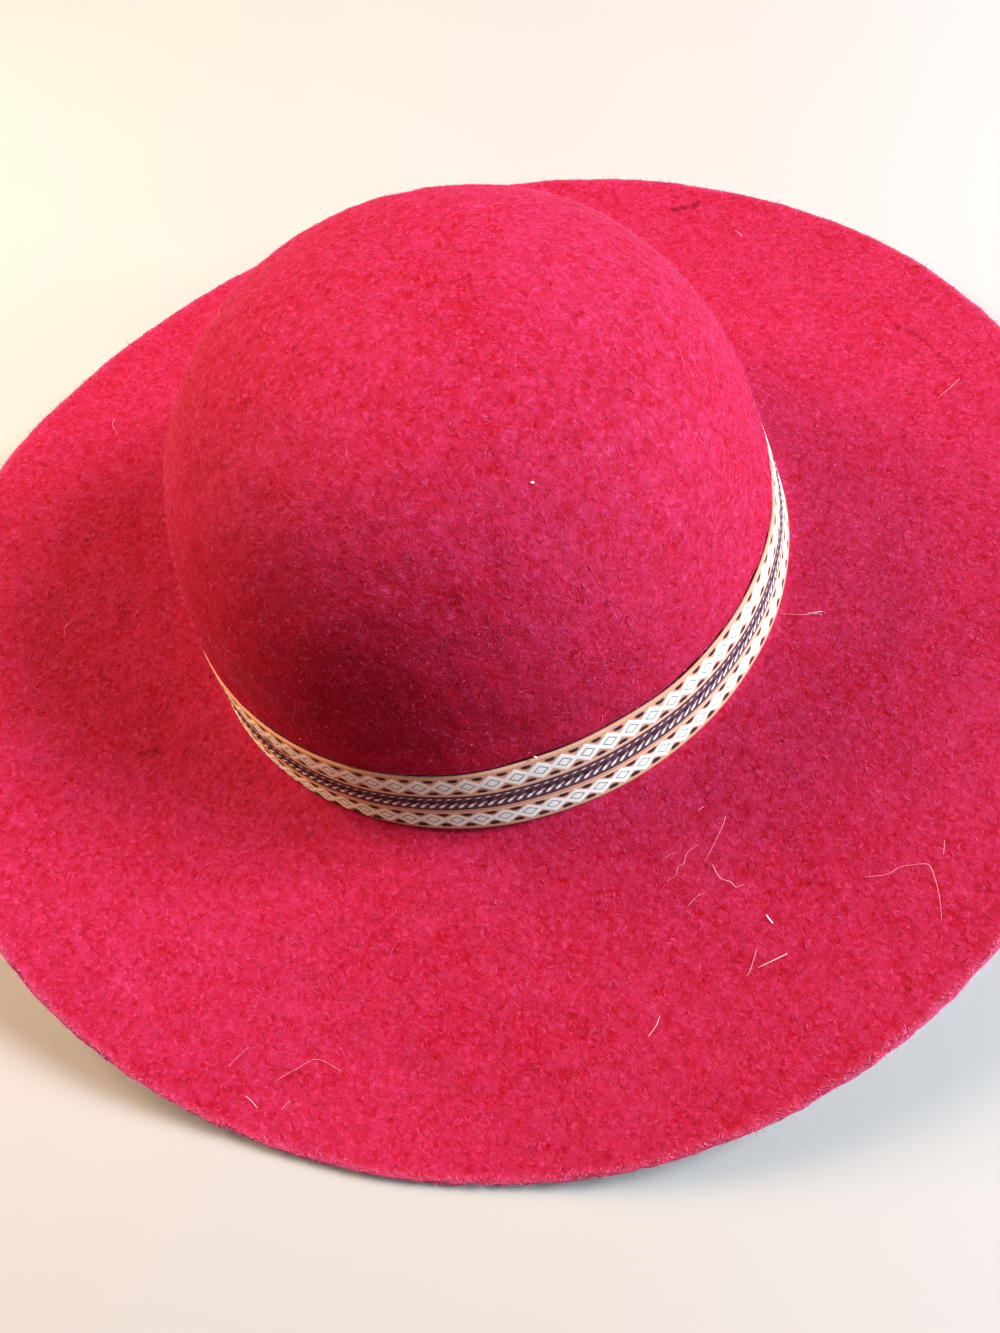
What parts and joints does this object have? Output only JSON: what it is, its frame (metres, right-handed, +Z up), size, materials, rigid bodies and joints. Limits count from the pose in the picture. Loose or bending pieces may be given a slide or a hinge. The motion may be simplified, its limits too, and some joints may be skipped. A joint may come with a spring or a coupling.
{
  "type": "wide-brimmed felt hat",
  "caption": "Round-crowned felt hat with a wide, wavy brim cut raw at its edge and a flat woven band round the foot of the crown.",
  "frame": {"origin": "on the surface that the hat rests on, under the middle of its box", "axes": "+Z up through the crown, -Y towards the front of the oval head opening, +X to the right as seen from the front"},
  "size_m": [0.3666, 0.3758, 0.1201],
  "materials": {
    "felt": "matte brushed wool felt, crimson",
    "band": "patterned woven ribbon in cream, tan and dark brown"
  },
  "bodies": {
    "root": {"felt_body": "felt", "hatband": "band"}
  },
  "joints": []
}
